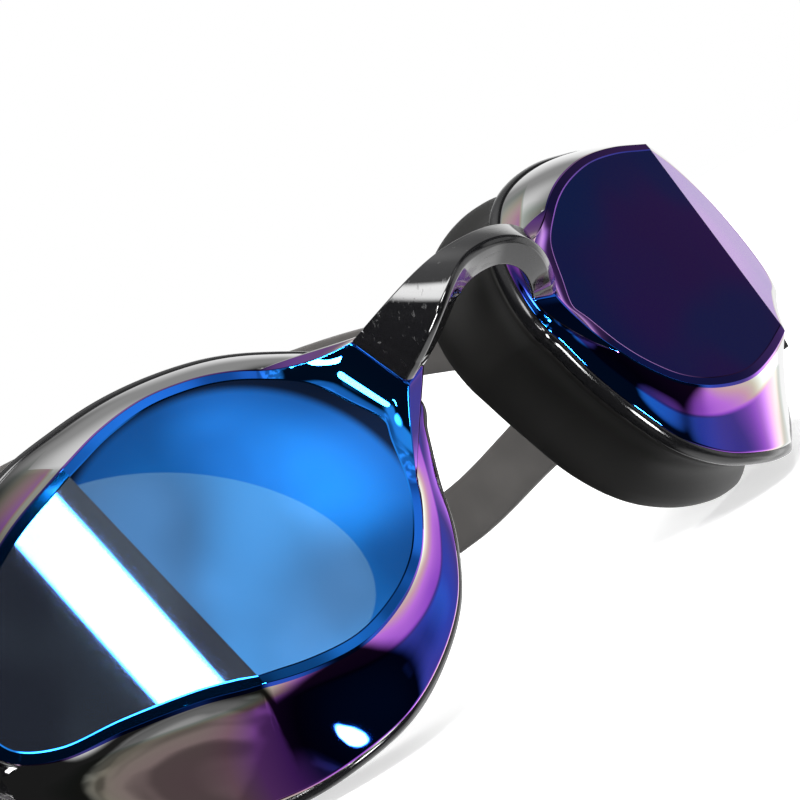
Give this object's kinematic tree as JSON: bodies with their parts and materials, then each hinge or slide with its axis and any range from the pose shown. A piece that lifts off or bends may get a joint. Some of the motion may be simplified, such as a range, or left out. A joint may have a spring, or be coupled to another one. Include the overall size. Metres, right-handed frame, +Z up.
{
  "type": "swim goggles",
  "caption": "Swim goggles with mirror-coated faceted lenses, soft gaskets, an arched nose bridge and a split head strap on pivoting side clips.",
  "frame": {"origin": "middle of the footprint, on the surface that the goggles stand on", "axes": "+X to the wearer's left, across the face; +Y from the lenses back towards the head; +Z up"},
  "size_m": [0.1396, 0.2168, 0.0501],
  "materials": {
    "lens_mirror": "blue mirror coating on moulded polycarbonate",
    "frame_black": "polished black",
    "gasket_silicone": "satin silicone",
    "clip_black": "polished black",
    "post_metal": "satin",
    "pin_black": "polished black",
    "button_black": "fine matt",
    "keeper_black": "satin",
    "bridge_black": "polished black",
    "strap_silicone": "satin silicone, dark grey"
  },
  "bodies": {
    "frame": {"lens_left": "lens_mirror", "lens_right": "lens_mirror", "seal_frame_left": "frame_black", "seal_frame_right": "frame_black", "gasket_left": "gasket_silicone", "gasket_right": "gasket_silicone", "nose_bridge": "bridge_black"},
    "strap": {"strap_clip_left": "clip_black", "strap_clip_right": "clip_black", "strap_post_left": "post_metal", "strap_post_right": "post_metal", "pivot_pin_left": "pin_black", "pivot_pin_right": "pin_black", "pin_retainer_left": "post_metal", "pin_retainer_right": "post_metal", "strap_upper": "strap_silicone", "strap_lower": "strap_silicone"},
    "button_left": {"release_button_left": "button_black"},
    "button_right": {"release_button_right": "button_black"},
    "keeper_left": {"strap_keeper_left": "keeper_black"},
    "keeper_right": {"strap_keeper_right": "keeper_black"}
  },
  "joints": [
    {"name": "strap_swing", "type": "hinge", "parent": "frame", "child": "strap", "pos_m": [0, -0.06945, 0.01932], "axis": [1, 0, 0], "range_deg": [-20, 60]},
    {"name": "button_press_left", "type": "slide", "parent": "strap", "child": "button_left", "axis": [-1, 0, 0], "range_m": [0, 0.001], "stiffness_N_per_m": 300},
    {"name": "button_press_right", "type": "slide", "parent": "strap", "child": "button_right", "axis": [1, 0, 0], "range_m": [0, 0.001], "stiffness_N_per_m": 300},
    {"name": "keeper_slide_left", "type": "slide", "parent": "strap", "child": "keeper_left", "axis": [0, 1, 0], "range_m": [-0.004, 0.003]},
    {"name": "keeper_slide_right", "type": "slide", "parent": "strap", "child": "keeper_right", "axis": [0, 1, 0], "range_m": [-0.004, 0.003]}
  ]
}
